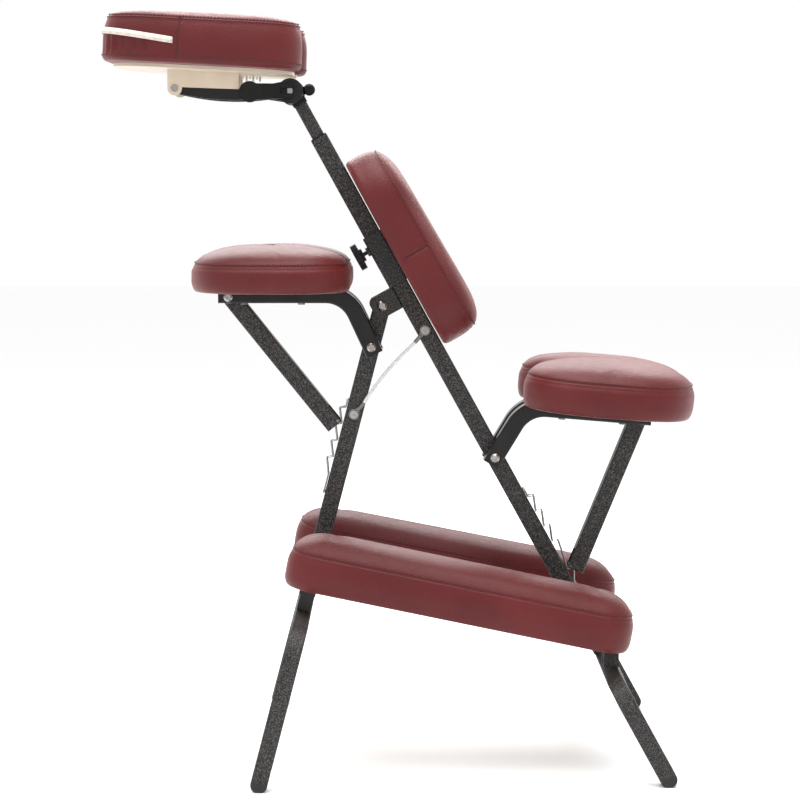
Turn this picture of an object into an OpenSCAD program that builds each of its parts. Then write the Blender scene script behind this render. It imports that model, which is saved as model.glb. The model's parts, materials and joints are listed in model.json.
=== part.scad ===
/* [Tubing] */
// Side of the square tube used for the main tube, front post, bars and struts
tube_w = 25.4; // [24:0.2:26]
// Wall of the square tubes
tube_wall = 1.6; // [1.2:0.1:2]
// Side of the square tube bent into the two leg frames
leg_w = 24; // [22:0.5:25]

/* [Stance] */
// Angle of the main tube and rear legs from vertical, in degrees
rear_lean = 28.9; // [28:0.1:30]
// Angle of the front post and front legs from vertical, in degrees
front_lean = 14.6; // [14:0.1:16]
// Distance behind the origin of the main tube's lower end
heel_x = 303.7; // [300:0.1:308]
// Height of the main tube's lower end above the floor
heel_z = 145.1; // [143:0.1:148]
// Length of the main tube
main_len = 876; // [860:1:890]
// Half the distance between the rear legs' centre lines
rear_half = 237; // [232:1:240]
// Half the distance between the front legs' centre lines
front_half = 264; // [263:1:275]
// Radius of the leg frames' bends, on the centre line
leg_bend = 45; // [40:1:60]

/* [Base hinge and stay cable] */
// Place of the base hinge along the main tube, from its lower end
hinge_s = 614.2; // [610:0.2:618]
// Distance of the base hinge from the main tube's centre line
hinge_off = 38.1; // [37:0.1:42]
// Place of the cable's upper bolt along the main tube
cable_top_s = 551.7; // [545:0.1:560]
// Place of the cable's lower bolt below the base hinge, along the front post
cable_low_d = 166.7; // [160:0.1:172]
// Diameter of the stay cable with its clear jacket
cable_d = 5; // [4:0.5:6]

/* [Seat] */
// Place of the seat pivot along the main tube
seat_pivot_s = 337.5; // [334:0.5:342]
// Length of the seat pad, front to back
seat_len = 262; // [255:1:280]
// Width of the seat pad
seat_w = 340; // [320:1:360]
// Slope of the seat, rear end down, in degrees
seat_tilt = 4.7; // [3:0.1:6]

/* [Armrest] */
// Place of the armrest pivot below the base hinge, along the front post
arm_pivot_d = 61.8; // [60:0.2:66]
// Length of the armrest pad, front to back
arm_len = 244; // [240:1:262]
// Width of the armrest pad
arm_w = 330; // [300:1:350]

/* [Knee rest] */
// Length of each knee pad
knee_len = 507; // [490:1:525]
// Width of each knee pad
knee_w = 125; // [110:1:130]
// Slope of the knee pads, rear end down, in degrees
knee_tilt = 11.3; // [10:0.1:12.5]
// Half the distance between the knee pads' centre lines
knee_half = 137; // [134:1:142]
// Angle that each knee pad's front end points outward, in degrees
knee_toe = 2; // [0:0.5:3]

/* [Chest pad] */
// Length of the chest pad along the main tube
chest_len = 302; // [285:1:315]
// Width of the chest pad
chest_w = 250; // [220:1:280]
// Thickness of the chest pad, crown included
chest_t = 64; // [60:1:72]
// Place of the chest sleeve's middle along the main tube
sleeve_s = 672.8; // [672.8:0.2:690]

/* [Face cradle] */
// Place of the tilt hub along the main tube's line
hub_s = 953.9; // [948:0.1:960]
// Length of the face cushion
face_len = 288; // [285:1:305]
// Width of the face cushion
face_w = 280; // [260:1:290]
// Thickness of the face cushion
face_t = 74; // [68:1:78]

/* [Hidden] */

$fn = 48;

half = tube_w / 2;
corner_r = 2.6;
slack = 0.35;
pin_gap = 0.05;
bolt_r = 4;
bolt_head_r = 6.6;
bolt_head_h = 3.6;
screw_r = 2.6;

// Plywood boards let into the undersides of the cushions
board_t = 10;
board_in = 9;

// Bars straddle the tube they pivot on
bar_gap = 0.8;
bar_y = tube_w + bar_gap;

// Places in the plane of symmetry, worked out along the two leaning members
function on_main(s, off) = [
    heel_x - s * sin(rear_lean) + off * cos(rear_lean),
    heel_z + s * cos(rear_lean) + off * sin(rear_lean)
];
hinge = on_main(hinge_s, -hinge_off);
function on_post(d, off) = [
    hinge[0] - d * sin(front_lean) - off * cos(front_lean),
    hinge[1] - d * cos(front_lean) + off * sin(front_lean)
];

// Foot caps: round ends as wide as the leg, cut flat where they meet the floor
foot_r = leg_w / 2;
foot_flat = 0.8;
foot_skirt = 2;
rear_foot_s = (foot_r - foot_flat - heel_z) / cos(rear_lean);
front_foot_d = (hinge[1] - foot_r + foot_flat) / cos(front_lean);
front_bar_d = 461;
rear_bar_s = -leg_w / 2;

// Racks: sawtooth wire on the face of a tube
wire_r = 1.4;
rack_half = 9;
rack_in = half + wire_r + 0.4;
rack_out = 22.8;
tooth_pitch = 25.7;
tooth_step = 4;
strut_pin_r = 2.25;
strut_pin_off = 20.8;
strut_edge = 4;

// Stay cable: crimp barrels stand this far off the tubes' near faces
cable_off = 3.1;
cable_top = on_main(cable_top_s, 0);
cable_low = on_post(cable_low_d, 0);
cable_turn = atan2(cable_low[1] - cable_top[1], cable_low[0] - cable_top[0]);

// Seat: pivot, bend and rear strut bolt
bar_bend = 50;
seat_pivot = on_main(seat_pivot_s, 0);
seat_rise = 31;
seat_rise_len = 88.5;
seat_knee = seat_pivot + seat_rise_len * [sin(seat_rise), cos(seat_rise)];
seat_bar_end = 186;
seat_bolt_at = 172;
seat_strut_top = [
    seat_knee[0] + seat_bolt_at * cos(seat_tilt),
    seat_knee[1] - seat_bolt_at * sin(seat_tilt)
];
seat_pad_at = 115;
seat_foot_s = 136.5;
seat_foot = on_main(seat_foot_s, strut_pin_off);

// Armrest: pivot, bend and front strut bolt
arm_pivot = on_post(arm_pivot_d, 0);
arm_rise = 25;
arm_rise_len = 85.7;
arm_knee = arm_pivot + arm_rise_len * [-sin(arm_rise), cos(arm_rise)];
arm_bar_end = 189;
arm_bolt = [arm_knee[0] - 174.2, arm_knee[1] - 3.7];
arm_pad_at = 107;
arm_foot_d = 182.3;
arm_foot = on_post(arm_foot_d, strut_pin_off);

// Knee rest: hinge behind the rear crossbar, plane of the pads' undersides
knee_mid = [81, 228.1];
knee_pin = [heel_x + 2, heel_z + 22];
knee_side = 47;
knee_crown = 28;
knee_corner = 46;
rail_w = 20;
rail_t = 12;
rail_y = knee_half - 12;

// Chest carriage
sleeve_len = 82;
sleeve_wall = 2.8;
sleeve_in = half + slack;
sleeve_out = sleeve_in + sleeve_wall;
knob_s = sleeve_s + 20.8;
chest_corner = 70;

// Face cradle
hub_off = -3;
hub = on_main(hub_s, hub_off);
post_w = 19;
hub_r = 18.6;
rivet = [-327.6, 982.8];
platform_tilt = 2.9;
platform_x = -285;
platform_z = 1007;
plate_t = 5;
face_corner = 65;
barrel_half = 30;
arm_inner = barrel_half + 0.4;
arm_outer = arm_inner + 7.6;
lever_far = arm_outer + 1.4;
lever_near = lever_far + 7.6;
cam_y = (lever_far + lever_near) / 2;
face_hole_x = 14;
face_slot = 30;

// ---------------------------------------------------------------- helpers

module rounded(w, h, r) {
    square([w - 2 * r, h], center = true);
    square([w, h - 2 * r], center = true);
    for (x = [-1, 1], y = [-1, 1])
        translate([x * (w / 2 - r), y * (h / 2 - r)]) circle(r);
}

module tube_section(w, wall) {
    difference() {
        rounded(w, w, corner_r);
        rounded(w - 2 * wall, w - 2 * wall, corner_r - 1);
    }
}

module solid_section(w) {
    rounded(w, w, corner_r);
}

// Moves children to a place in the plane of symmetry, turned about the side-to-side axis
module place(p, turn) {
    translate([p[0], 0, p[1]]) rotate([0, turn, 0]) children();
}

// Local +Z up the main tube, +X out of its rear face
module on_main_tube(s) {
    place(on_main(s, 0), -rear_lean) children();
}

// Local -Z down the front post, -X out of its front face
module on_front_post(d) {
    place(on_post(d, 0), front_lean) children();
}

// Cylinder along the side-to-side axis, centred
module cross_pin(r, len) {
    rotate([90, 0, 0]) cylinder(r = r, h = len, center = true);
}

// Bolt across two bars: shank, button head with hex socket on the near side, nut on the far side
module cross_bolt(reach, shank_r, head_r) {
    cross_pin(shank_r, 2 * reach);
    translate([0, -reach, 0]) rotate([90, 0, 0]) difference() {
        union() {
            cylinder(r = head_r, h = 1.4);
            translate([0, 0, 1.4])
                cylinder(r1 = head_r, r2 = head_r * 0.62, h = bolt_head_h - 1.4, $fn = 40);
        }
        translate([0, 0, 1.2]) cylinder(r = head_r * 0.4, h = bolt_head_h, $fn = 6);
    }
    translate([0, reach, 0]) rotate([-90, 0, 0]) cylinder(r = head_r, h = 5, $fn = 6);
    translate([0, reach + 5, 0]) rotate([-90, 0, 0]) cylinder(r = shank_r, h = 1.5);
}

// Short screw with its head under a bar and its shank up into a pad's board
module pad_screw(shank_len) {
    translate([0, 0, -2.4]) cylinder(r = 5.2, h = 2.4);
    screw_shank(shank_len);
}

module screw_shank(shank_len) {
    cylinder(r = screw_r, h = shank_len);
}

// Hole for the same screw, run out past the face that it starts from
module screw_hole(shank_len) {
    translate([0, 0, -1]) cylinder(r = screw_r, h = shank_len + 1);
}

// Section swept along points in the plane of symmetry, one ring of section points at each
function path_dir(p, i) =
    let (n = len(p) - 1, a = p[max(i - 1, 0)], b = p[min(i + 1, n)]) (b - a) / norm(b - a);
function ring(c, d, y, section) =
    [for (q = section) [c[0] - d[1] * q[0], y + q[1], c[1] + d[0] * q[0]]];
module swept(p, y, section) {
    n = len(p);
    m = len(section);
    pts = [for (i = [0:n - 1]) each ring(p[i], path_dir(p, i), y, section)];
    walls = [
        for (i = [0:n - 2], k = [0:m - 1])
            let (j = (k + 1) % m)
                [i * m + k, i * m + j, (i + 1) * m + j, (i + 1) * m + k]
    ];
    first = [for (k = [0:m - 1]) m - 1 - k];
    last = [for (k = [0:m - 1]) (n - 1) * m + k];
    polyhedron(points = pts, faces = concat([first], walls, [last]));
}

function round_section(r, sides) =
    [for (k = [0:sides - 1]) r * [cos(360 * k / sides), sin(360 * k / sides)]];
function square_section(w, r) = [
    for (k = [0:3], i = [0:3])
        let (a = 90 * k + 30 * i, c = 90 * k + 45)
            (w / 2 - r) * [sign(cos(c)), sign(sin(c))] + r * [cos(a), sin(a)]
];

// Sawtooth of a rack as (distance along the tube, distance from its centre line)
function rack_teeth(first, count) = [
    for (k = [0:count - 1])
        each [
            [first + k * tooth_pitch - tooth_step, rack_in],
            [first + k * tooth_pitch, rack_out]
        ]
];

// Centre line of a bent bar in its own plane: pivot at the origin, up along +Z, then round to the left
function bent_line(rise, turn, run, spare) = let (
    lead = bar_bend * tan(turn / 2),
    first = rise - lead,
    rest = run - lead + spare,
    steps = 12
) concat(
    [[0, -11.5 - spare]],
    [
        for (i = [0:steps]) let (a = turn * i / steps)
            [bar_bend * (cos(a) - 1), first + bar_bend * sin(a)]
    ],
    [[
        bar_bend * (cos(turn) - 1) - rest * sin(turn),
        first + bar_bend * sin(turn) + rest * cos(turn)
    ]]
);

module bent_tube(rise, turn, run, hole_r) {
    difference() {
        swept(bent_line(rise, turn, run, 0), 0, square_section(tube_w, corner_r));
        swept(bent_line(rise, turn, run, 1), 0, square_section(tube_w - 2 * tube_wall, corner_r - 1));
        cross_pin(hole_r, 2 * tube_w);
    }
}

// Inverted U of square tube: crossbar along Y through the origin, legs down -Z
module leg_frame(half_w, drop) {
    run = half_w - leg_bend;
    rotate([90, 0, 0]) linear_extrude(2 * run, center = true) tube_section(leg_w, tube_wall);
    for (m = [0, 1]) mirror([0, m, 0]) {
        translate([0, run, -leg_bend]) rotate([90, 0, 90])
            rotate_extrude(angle = 90, $fn = 96) translate([leg_bend, 0]) tube_section(leg_w, tube_wall);
        translate([0, half_w, -drop]) linear_extrude(drop - leg_bend) tube_section(leg_w, tube_wall);
    }
}

// Rubber feet: round-ended plugs pushed into the legs, cut flat where they meet the floor
module foot_pair(half_w, p, lean) {
    plug = leg_w - 2 * tube_wall - 0.2;
    intersection() {
        for (m = [-1, 1])
            translate([p[0], m * half_w, p[1]]) rotate([0, lean, 0]) {
                difference() {
                    cross_pin(foot_r, leg_w);
                    translate([-leg_w, -leg_w, 0]) cube(2 * leg_w);
                }
                linear_extrude(foot_skirt) rounded(leg_w, leg_w, corner_r);
                linear_extrude(foot_skirt + 16) rounded(plug, plug, corner_r - 0.9);
            }
        translate([p[0] - 60, -half_w - 60, 0]) cube([120, 2 * half_w + 120, 100]);
    }
}

// Heart-shaped pad outline: a squarish oval drawn in at its -X end by a notch
function heart(l, w, notch) = [
    for (a = [0:5:355])
        let (
            c = cos(a), s = sin(a),
            y = w / 2 * sign(s) * pow(abs(s), 0.72),
            x = l / 2 * sign(c) * pow(abs(c), 0.72),
            bite = c < 0 ? notch * exp(-pow(y / (w * 0.13), 2)) : 0
        ) [x + bite, y]
];

module pad_shape(l, w, r, notch) {
    if (notch > 0) polygon(heart(l, w, notch));
    else rounded(l, w, r);
}

// Slab whose outline draws in by `inset` on each side over its height
module crown_step(l, w, r, notch, h, inset) {
    if (notch > 0) linear_extrude(h, scale = 1 - 2 * inset / l) pad_shape(l, w, r, notch);
    else hull() {
        linear_extrude(0.01) pad_shape(l, w, r, notch, $fn = 32);
        translate([0, 0, h - 0.01]) linear_extrude(0.01)
            pad_shape(l - 2 * inset, w - 2 * inset, r - inset, notch, $fn = 32);
    }
}

// Cushion: side wall up to the seam, a crown that draws in, a recess below for its board,
// and a skirt hanging below the board's face, left out above the bars
module cushion(l, w, r, notch, side, crown, skirt) {
    low = 0.6 * crown;
    edge = 0.3 * crown;
    ledge = 0.4;
    inner = (l - 2 * edge - 2 * ledge) / l;
    difference() {
        union() {
            translate([0, 0, -skirt]) linear_extrude(side + skirt) pad_shape(l, w, r, notch);
            translate([0, 0, side]) crown_step(l, w, r, notch, low, edge);
            translate([0, 0, side + low]) {
                if (notch > 0) crown_step(l * inner, w * inner, r, notch * inner, crown - low, 1.6 * edge);
                else crown_step(l - 2 * edge, w - 2 * edge, r - edge, 0, crown - low, 1.6 * edge);
            }
        }
        translate([0, 0, -skirt - 1]) linear_extrude(skirt + board_t + 1)
            pad_shape(l - 2 * board_in, w - 2 * board_in, r - board_in, notch);
        if (notch > 0) translate([-l, -bar_y - half - 2, -skirt - 1])
            cube([2 * l, 2 * (bar_y + half + 2), skirt + 1]);
    }
}

module board(l, w, r, notch) {
    linear_extrude(board_t) pad_shape(l - 2 * board_in, w - 2 * board_in, r - board_in, notch);
}

// Ring terminal lying on a tube's near face, its barrel pointing along `turn` from +X
module eyelet(turn) {
    rotate([90, 0, 0]) rotate([0, 0, turn]) {
        difference() {
            union() {
                cylinder(r = 8, h = 1.6);
                translate([4, -3.2, 0]) cube([8, 6.4, 1.6]);
            }
            translate([0, 0, -1]) cylinder(r = 4.1, h = 4);
        }
        translate([11, 0, cable_off]) rotate([0, 90, 0]) cylinder(r = 2.9, h = 12);
    }
}

module near_bolt() {
    rotate([90, 0, 0]) difference() {
        union() {
            cylinder(r = 6, h = 3.4);
            translate([0, 0, -6]) cylinder(r = 3.9, h = 7);
        }
        translate([0, 0, 1.4]) cylinder(r = 2.4, h = 4, $fn = 6);
    }
}

// ---------------------------------------------------------------- main frame

module main_tube() {
    color("#2b2b2d") difference() {
        on_main_tube(0) linear_extrude(main_len) tube_section(tube_w, tube_wall);
        place(seat_pivot, 0) cross_pin(bolt_r, 2 * tube_w);
        place(on_main(cable_top_s, 0), 0) translate([0, -half, 0]) cross_pin(3.9, tube_w / 2);
    }
}

// Plastic bush in the mouth of the main tube, which guides the head post
module top_bush() {
    bore = post_w + 0.7;
    plug = tube_w - 2 * tube_wall - 0.1;
    color("#1c1c1c") on_main_tube(main_len) difference() {
        union() {
            translate([0, 0, -32]) linear_extrude(32) rounded(plug, plug, 1.6);
            linear_extrude(1.6) rounded(tube_w - 0.6, tube_w - 0.6, corner_r);
        }
        translate([0, 0, -33]) linear_extrude(36) rounded(bore, bore, 1.6);
    }
}

module rear_leg_frame() {
    color("#2b2b2d") on_main_tube(rear_bar_s) leg_frame(rear_half, rear_bar_s - rear_foot_s - foot_skirt);
}

module rear_foot_caps() {
    color("#151515") foot_pair(rear_half, on_main(rear_foot_s, 0), -rear_lean);
}

// Folded steel channel welded to the main tube: base plate and two cheeks
module hinge_bracket() {
    inner = half + 0.55;
    plate = 2.6;
    reach = hinge_off - half + 13;
    color("#2b2b2d") difference() {
        on_main_tube(hinge_s) {
            translate([-half - plate, 0, 0]) cube_on_centre(plate, 2 * (inner + plate), 34);
            for (m = [-1, 1]) translate([-half - reach / 2 - plate / 2, m * (inner + plate / 2), 0])
                rotate([90, 0, 0]) linear_extrude(plate, center = true) rounded(reach + plate, 34, 8.5);
            for (m = [-1, 1]) translate([-half - 9, m * (inner + plate / 2), 0])
                cube([18, plate, 34], center = true);
        }
        place(hinge, 0) cross_pin(bolt_r + 1, 60);
    }
}

module cube_on_centre(x, y, z) {
    translate([0, -y / 2, -z / 2]) cube([x, y, z]);
}

module hinge_bolt() {
    color("#b9bcc0") place(hinge, 0) cross_bolt(half + 3.15, bolt_r + 1, 7.4);
}

// Points of the seat rack, top to bottom, then the hook that the strut's pin rests in
function seat_rack_path() = [
    for (q = concat(
        [[seat_pivot_s - 271.5, rack_in]],
        rack_teeth(82, 4),
        [
            [seat_pivot_s - seat_foot_s + 2.7, rack_in],
            [seat_pivot_s - seat_foot_s + 6.7, rack_out],
            [seat_pivot_s - seat_foot_s + 22, rack_in],
            [seat_pivot_s - seat_foot_s + 32, rack_in]
        ]
    )) on_main(seat_pivot_s - q[0], q[1])
];

module seat_rack() {
    color("#8d8f92") {
        for (m = [-1, 1]) swept(seat_rack_path(), m * rack_half, round_section(wire_r, 8));
        place(on_main(271.5, rack_in), -rear_lean) cross_pin(rack_in - half, 2 * rack_half + 6);
        place(on_main(seat_foot_s - 34, rack_in), -rear_lean) cross_pin(rack_in - half, 2 * rack_half + 4);
    }
}

module seat_pivot_bolt() {
    color("#b9bcc0") place(seat_pivot, 0) cross_bolt(bar_y + half + 0.3, bolt_r, bolt_head_r);
}

module cable_upper_bolt() {
    color("#b9bcc0") place(on_main(cable_top_s, 0), 0) translate([0, -half - 1.6, 0]) near_bolt();
}

module cable_upper_eyelet() {
    color("#b9bcc0") translate([cable_top[0], -half, cable_top[1]]) eyelet(cable_turn);
}

// Straight run between the two barrels
module stay_cable() {
    run = norm(cable_low - cable_top) - 2 * 23;
    color("#c9ccd0") translate([cable_top[0], -half - cable_off, cable_top[1]]) rotate([0, -cable_turn, 0])
        translate([23, 0, 0]) rotate([0, 90, 0]) cylinder(r = cable_d / 2, h = run);
}

// Two pairs of ears welded on top of the rear crossbar, one pair for each rail of the knee frame
module knee_hinge_lugs() {
    foot = on_main(rear_bar_s, 0)[1] + leg_w / 2 + 1.2;
    color("#2b2b2d") difference() {
        for (m = [-1, 1], e = [-1, 1]) translate([0, m * rail_y + e * (rail_w / 2 + 2.2), 0])
            rotate([90, 0, 0]) linear_extrude(3, center = true) {
                translate(knee_pin) circle(11);
                translate([knee_pin[0] - 11, foot]) square([22, knee_pin[1] - foot]);
            }
        place(knee_pin, 0) cross_pin(bolt_r, 400);
        on_main_tube(rear_bar_s) cube([leg_w + 0.02, 460, leg_w + 0.02], center = true);
    }
}

module knee_hinge_pin() {
    color("#b9bcc0") for (m = [-1, 1]) translate([knee_pin[0], m * rail_y, knee_pin[1]]) {
        cross_pin(bolt_r, rail_w + 10);
        for (e = [-1, 1]) translate([0, e * (rail_w / 2 + 5.2), 0]) cross_pin(6.5, 3);
    }
}

// ---------------------------------------------------------------- front leg

module front_post() {
    color("#2b2b2d") difference() {
        on_front_post(0) translate([0, 0, leg_w / 2 - front_bar_d])
            linear_extrude(front_bar_d - leg_w / 2 + 11.5) tube_section(tube_w, tube_wall);
        place(hinge, 0) cross_pin(bolt_r + 1 + pin_gap, 2 * tube_w);
        place(arm_pivot, 0) cross_pin(bolt_r, 2 * tube_w);
        place(cable_low, 0) translate([0, -half, 0]) cross_pin(3.9, tube_w / 2);
    }
}

module front_leg_frame() {
    color("#2b2b2d") on_front_post(front_bar_d) leg_frame(front_half, front_foot_d - front_bar_d - foot_skirt);
}

module front_foot_caps() {
    color("#151515") foot_pair(front_half, on_post(front_foot_d, 0), front_lean);
}

function arm_rack_path() = [
    for (q = concat(
        [[149, rack_in]],
        rack_teeth(163.5, 4),
        [[264, rack_in], [290, rack_in]]
    )) on_post(q[0], q[1])
];

module arm_rack() {
    color("#8d8f92") {
        for (m = [-1, 1]) swept(arm_rack_path(), m * rack_half, round_section(wire_r, 8));
        place(on_post(149, rack_in), 0) cross_pin(rack_in - half, 2 * rack_half + 6);
        place(on_post(291, rack_in), 0) cross_pin(rack_in - half, 2 * rack_half + 4);
    }
}

module arm_pivot_bolt() {
    color("#b9bcc0") place(arm_pivot, 0) cross_bolt(bar_y + half + 0.3, bolt_r, bolt_head_r);
}

module cable_lower_bolt() {
    color("#b9bcc0") place(cable_low, 0) translate([0, -half - 1.6, 0]) near_bolt();
}

module cable_lower_eyelet() {
    color("#b9bcc0") translate([cable_low[0], -half, cable_low[1]]) eyelet(cable_turn + 180);
}

// ---------------------------------------------------------------- knee rest

// Local frame of one knee pad: origin under its middle, +X to the rear end, +Z out of the top
module on_knee(m) {
    translate([knee_mid[0], m * knee_half, knee_mid[1]])
        rotate([0, knee_tilt, 0]) rotate([0, 0, m * knee_toe]) children();
}

// Flat rail under one pad, with the hinge eye at its rear end
module knee_rail(m) {
    rail_from = -216;
    rail_to = 229;
    color("#242425") difference() {
        translate([0, m * rail_y, 0]) rotate([90, 0, 0]) linear_extrude(rail_w, center = true)
            difference() {
                union() {
                    translate(knee_mid) rotate(-knee_tilt) translate([rail_from, -rail_t])
                        square([rail_to - rail_from, rail_t]);
                    translate(knee_pin) circle(9.5);
                }
                translate(knee_pin) circle(bolt_r + pin_gap);
            }
        at_knee_screws(m) screw_hole(rail_t + 1);
    }
}

module knee_rail_left() {
    knee_rail(-1);
}

module knee_rail_right() {
    knee_rail(1);
}

// Rubber blocks under the rails that stand on the front crossbar
module knee_saddles() {
    top = on_post(front_bar_d - leg_w / 2 - 0.4, 0);
    color("#151515") difference() {
        for (m = [-1, 1]) place(top, front_lean)
            translate([-10, m * rail_y - rail_w / 2, 0]) cube([20, rail_w, 60]);
        translate([knee_mid[0], 0, knee_mid[1]]) rotate([0, knee_tilt, 0])
            translate([-400, -200, -rail_t]) cube([600, 400, 100]);
    }
}

module knee_board(m) {
    color("#6d4f38") difference() {
        on_knee(m) board(knee_len, knee_w, knee_corner, 0);
        at_knee_screws(m) screw_hole(rail_t + 8);
    }
}

module knee_cushion(m) {
    color("#8c3f45") on_knee(m) cushion(knee_len, knee_w, knee_corner, 0, knee_side, knee_crown, 4.5);
}

module knee_board_left() {
    knee_board(-1);
}

module knee_board_right() {
    knee_board(1);
}

module knee_cushion_left() {
    knee_cushion(-1);
}

module knee_cushion_right() {
    knee_cushion(1);
}

// Places of the three screws under one knee pad, on the rail's lower face
module at_knee_screws(m) {
    translate([knee_mid[0], m * rail_y, knee_mid[1]]) rotate([0, knee_tilt, 0])
        for (x = [-190, 0, 180]) translate([x, 0, -rail_t]) children();
}

module knee_pad_screws() {
    color("#b9bcc0") for (m = [-1, 1]) at_knee_screws(m) pad_screw(rail_t + 8);
}

// ---------------------------------------------------------------- seat

module seat_bar(m) {
    color("#242425") difference() {
        translate([seat_pivot[0], m * bar_y, seat_pivot[1]]) rotate([0, seat_rise, 0]) mirror([1, 0, 0])
            bent_tube(seat_rise_len, 90 - seat_rise + seat_tilt, seat_bar_end, bolt_r + pin_gap);
        place(seat_strut_top, 0) cross_pin(bolt_r, 120);
        at_seat_screws() screw_hole(tube_w + 1);
    }
}

module seat_bar_left() {
    seat_bar(-1);
}

module seat_bar_right() {
    seat_bar(1);
}

// Local frame of the seat pad: origin on the bars' top face under the pad's middle
module on_seat() {
    translate([seat_knee[0] + seat_pad_at * cos(seat_tilt), 0, seat_knee[1] - seat_pad_at * sin(seat_tilt)])
        rotate([0, seat_tilt, 0]) translate([0, 0, half]) children();
}

module at_seat_screws() {
    on_seat() for (m = [-1, 1], x = [-60, 30]) translate([x, m * bar_y, -tube_w]) children();
}

module seat_board() {
    color("#6d4f38") difference() {
        on_seat() board(seat_len, seat_w, 60, 42);
        at_seat_screws() screw_hole(tube_w + 8);
    }
}

module seat_cushion() {
    color("#8c3f45") on_seat() cushion(seat_len, seat_w, 60, 42, 38, 28, 8.5);
}

module seat_strut_bolt() {
    color("#b9bcc0") place(seat_strut_top, 0) cross_bolt(bar_y + half + 0.3, bolt_r, bolt_head_r);
}

module seat_pad_screws() {
    color("#b9bcc0") at_seat_screws() pad_screw(tube_w + 8);
}

// Square strut from its bolt to the rack; the end facing the rack is opened so that the walls straddle it
module strut(top, foot, side) {
    d = foot - top;
    // The foot pin sits inside one corner, so the strut's own line runs beside it
    shift = half - strut_edge;
    span = sqrt(norm(d) * norm(d) - shift * shift);
    turn = atan2(d[0], -d[1]) - side * asin(shift / norm(d));
    length = span + strut_edge;
    difference() {
        place(top, -turn) difference() {
            intersection() {
                translate([0, 0, -length]) linear_extrude(length + half) tube_section(tube_w, tube_wall);
                union() {
                    cross_pin(half - 0.5, 2 * tube_w);
                    translate([-tube_w, -tube_w, -2 * length]) cube([2 * tube_w, 2 * tube_w, 2 * length]);
                }
            }
            cross_pin(bolt_r + pin_gap, 2 * tube_w);
            translate([side * half, 0, -length]) cube([8, tube_w - 2 * tube_wall, 60], center = true);
        }
        place(foot, 0) cross_pin(strut_pin_r, 2 * tube_w);
    }
}

module seat_strut() {
    color("#242425") strut(seat_strut_top, seat_foot, -1);
}

module seat_strut_pin() {
    color("#b9bcc0") place(seat_foot, 0) cross_pin(strut_pin_r, tube_w + 3);
}

// ---------------------------------------------------------------- armrest

module arm_bar(m) {
    color("#242425") difference() {
        translate([arm_pivot[0], m * bar_y, arm_pivot[1]]) rotate([0, -arm_rise, 0])
            bent_tube(arm_rise_len, 90 - arm_rise, arm_bar_end, bolt_r + pin_gap);
        place(arm_bolt, 0) cross_pin(bolt_r, 120);
        at_arm_screws() screw_hole(tube_w + 1);
    }
}

module arm_bar_left() {
    arm_bar(-1);
}

module arm_bar_right() {
    arm_bar(1);
}

// Local frame of the armrest pad: origin on the bars' top face, -X to the notched rear end
module on_arm() {
    translate([arm_knee[0] - arm_pad_at, 0, arm_knee[1] + half]) rotate([0, 0, 180]) children();
}

module at_arm_screws() {
    on_arm() for (m = [-1, 1], x = [-40, 45]) translate([x, m * bar_y, -tube_w]) children();
}

module arm_board() {
    color("#6d4f38") difference() {
        on_arm() board(arm_len, arm_w, 60, 42);
        at_arm_screws() screw_hole(tube_w + 8);
    }
}

module arm_cushion() {
    color("#8c3f45") on_arm() cushion(arm_len, arm_w, 60, 42, 32, 27, 7);
}

module arm_strut_bolt() {
    color("#b9bcc0") place(arm_bolt, 0) cross_bolt(bar_y + half + 0.3, bolt_r, bolt_head_r);
}

module arm_pad_screws() {
    color("#b9bcc0") at_arm_screws() pad_screw(tube_w + 8);
}

module arm_strut() {
    color("#242425") strut(arm_bolt, arm_foot, 1);
}

module arm_strut_pin() {
    color("#b9bcc0") place(arm_foot, 0) cross_pin(strut_pin_r, tube_w + 3);
}

// ---------------------------------------------------------------- chest carriage

module chest_sleeve() {
    color("#1d1d1e") on_main_tube(sleeve_s) difference() {
        union() {
            translate([0, 0, -sleeve_len / 2]) linear_extrude(sleeve_len) difference() {
                rounded(2 * sleeve_out, 2 * sleeve_out, corner_r + sleeve_wall);
                rounded(2 * sleeve_in, 2 * sleeve_in, corner_r + slack);
            }
            translate([-sleeve_out - 4, 0, knob_s - sleeve_s]) rotate([0, 90, 0])
                cylinder(r = 7, h = 5);
        }
        translate([-sleeve_out - 6, 0, knob_s - sleeve_s]) rotate([0, 90, 0]) cylinder(r = 3 + pin_gap, h = 12);
    }
}

// Flat steel plate welded to the sleeve, screwed to the pad's board
module chest_plate() {
    color("#1d1d1e") on_main_tube(sleeve_s) translate([sleeve_out, 0, 0])
        cube_on_centre(3, 150, 60);
}

// Local frame of the chest pad: +Z away from the tube, +X down the tube
module on_chest() {
    on_main_tube(sleeve_s) translate([sleeve_out + 3, 0, 0]) rotate([0, 90, 0]) children();
}

module chest_board() {
    color("#6d4f38") on_chest() board(chest_len, chest_w, chest_corner, 0);
}

module chest_cushion() {
    color("#8c3f45") on_chest() cushion(chest_len, chest_w, chest_corner, 0, chest_t - 20, 20, 0);
}

// Round knob on a clamping screw that presses on the tube's front face
module clamp_knob() {
    color("#151515") on_main_tube(knob_s) rotate([0, -90, 0]) {
        translate([0, 0, half + 0.35]) cylinder(r = 3, h = 18);
        translate([0, 0, 25.5]) cylinder(r = 10, h = 4);
        translate([0, 0, 29.5]) difference() {
            cylinder(r = 20.5, h = 9, $fn = 96);
            for (a = [0:30:330]) rotate([0, 0, a]) translate([22.4, 0, -1]) cylinder(r = 3.4, h = 12);
        }
    }
}

// ---------------------------------------------------------------- face cradle

module head_post() {
    from = 640;
    color("#2b2b2d") on_main_tube(from) linear_extrude(hub_s - hub_r - 4 - from) tube_section(post_w, 1.4);
}

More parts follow.
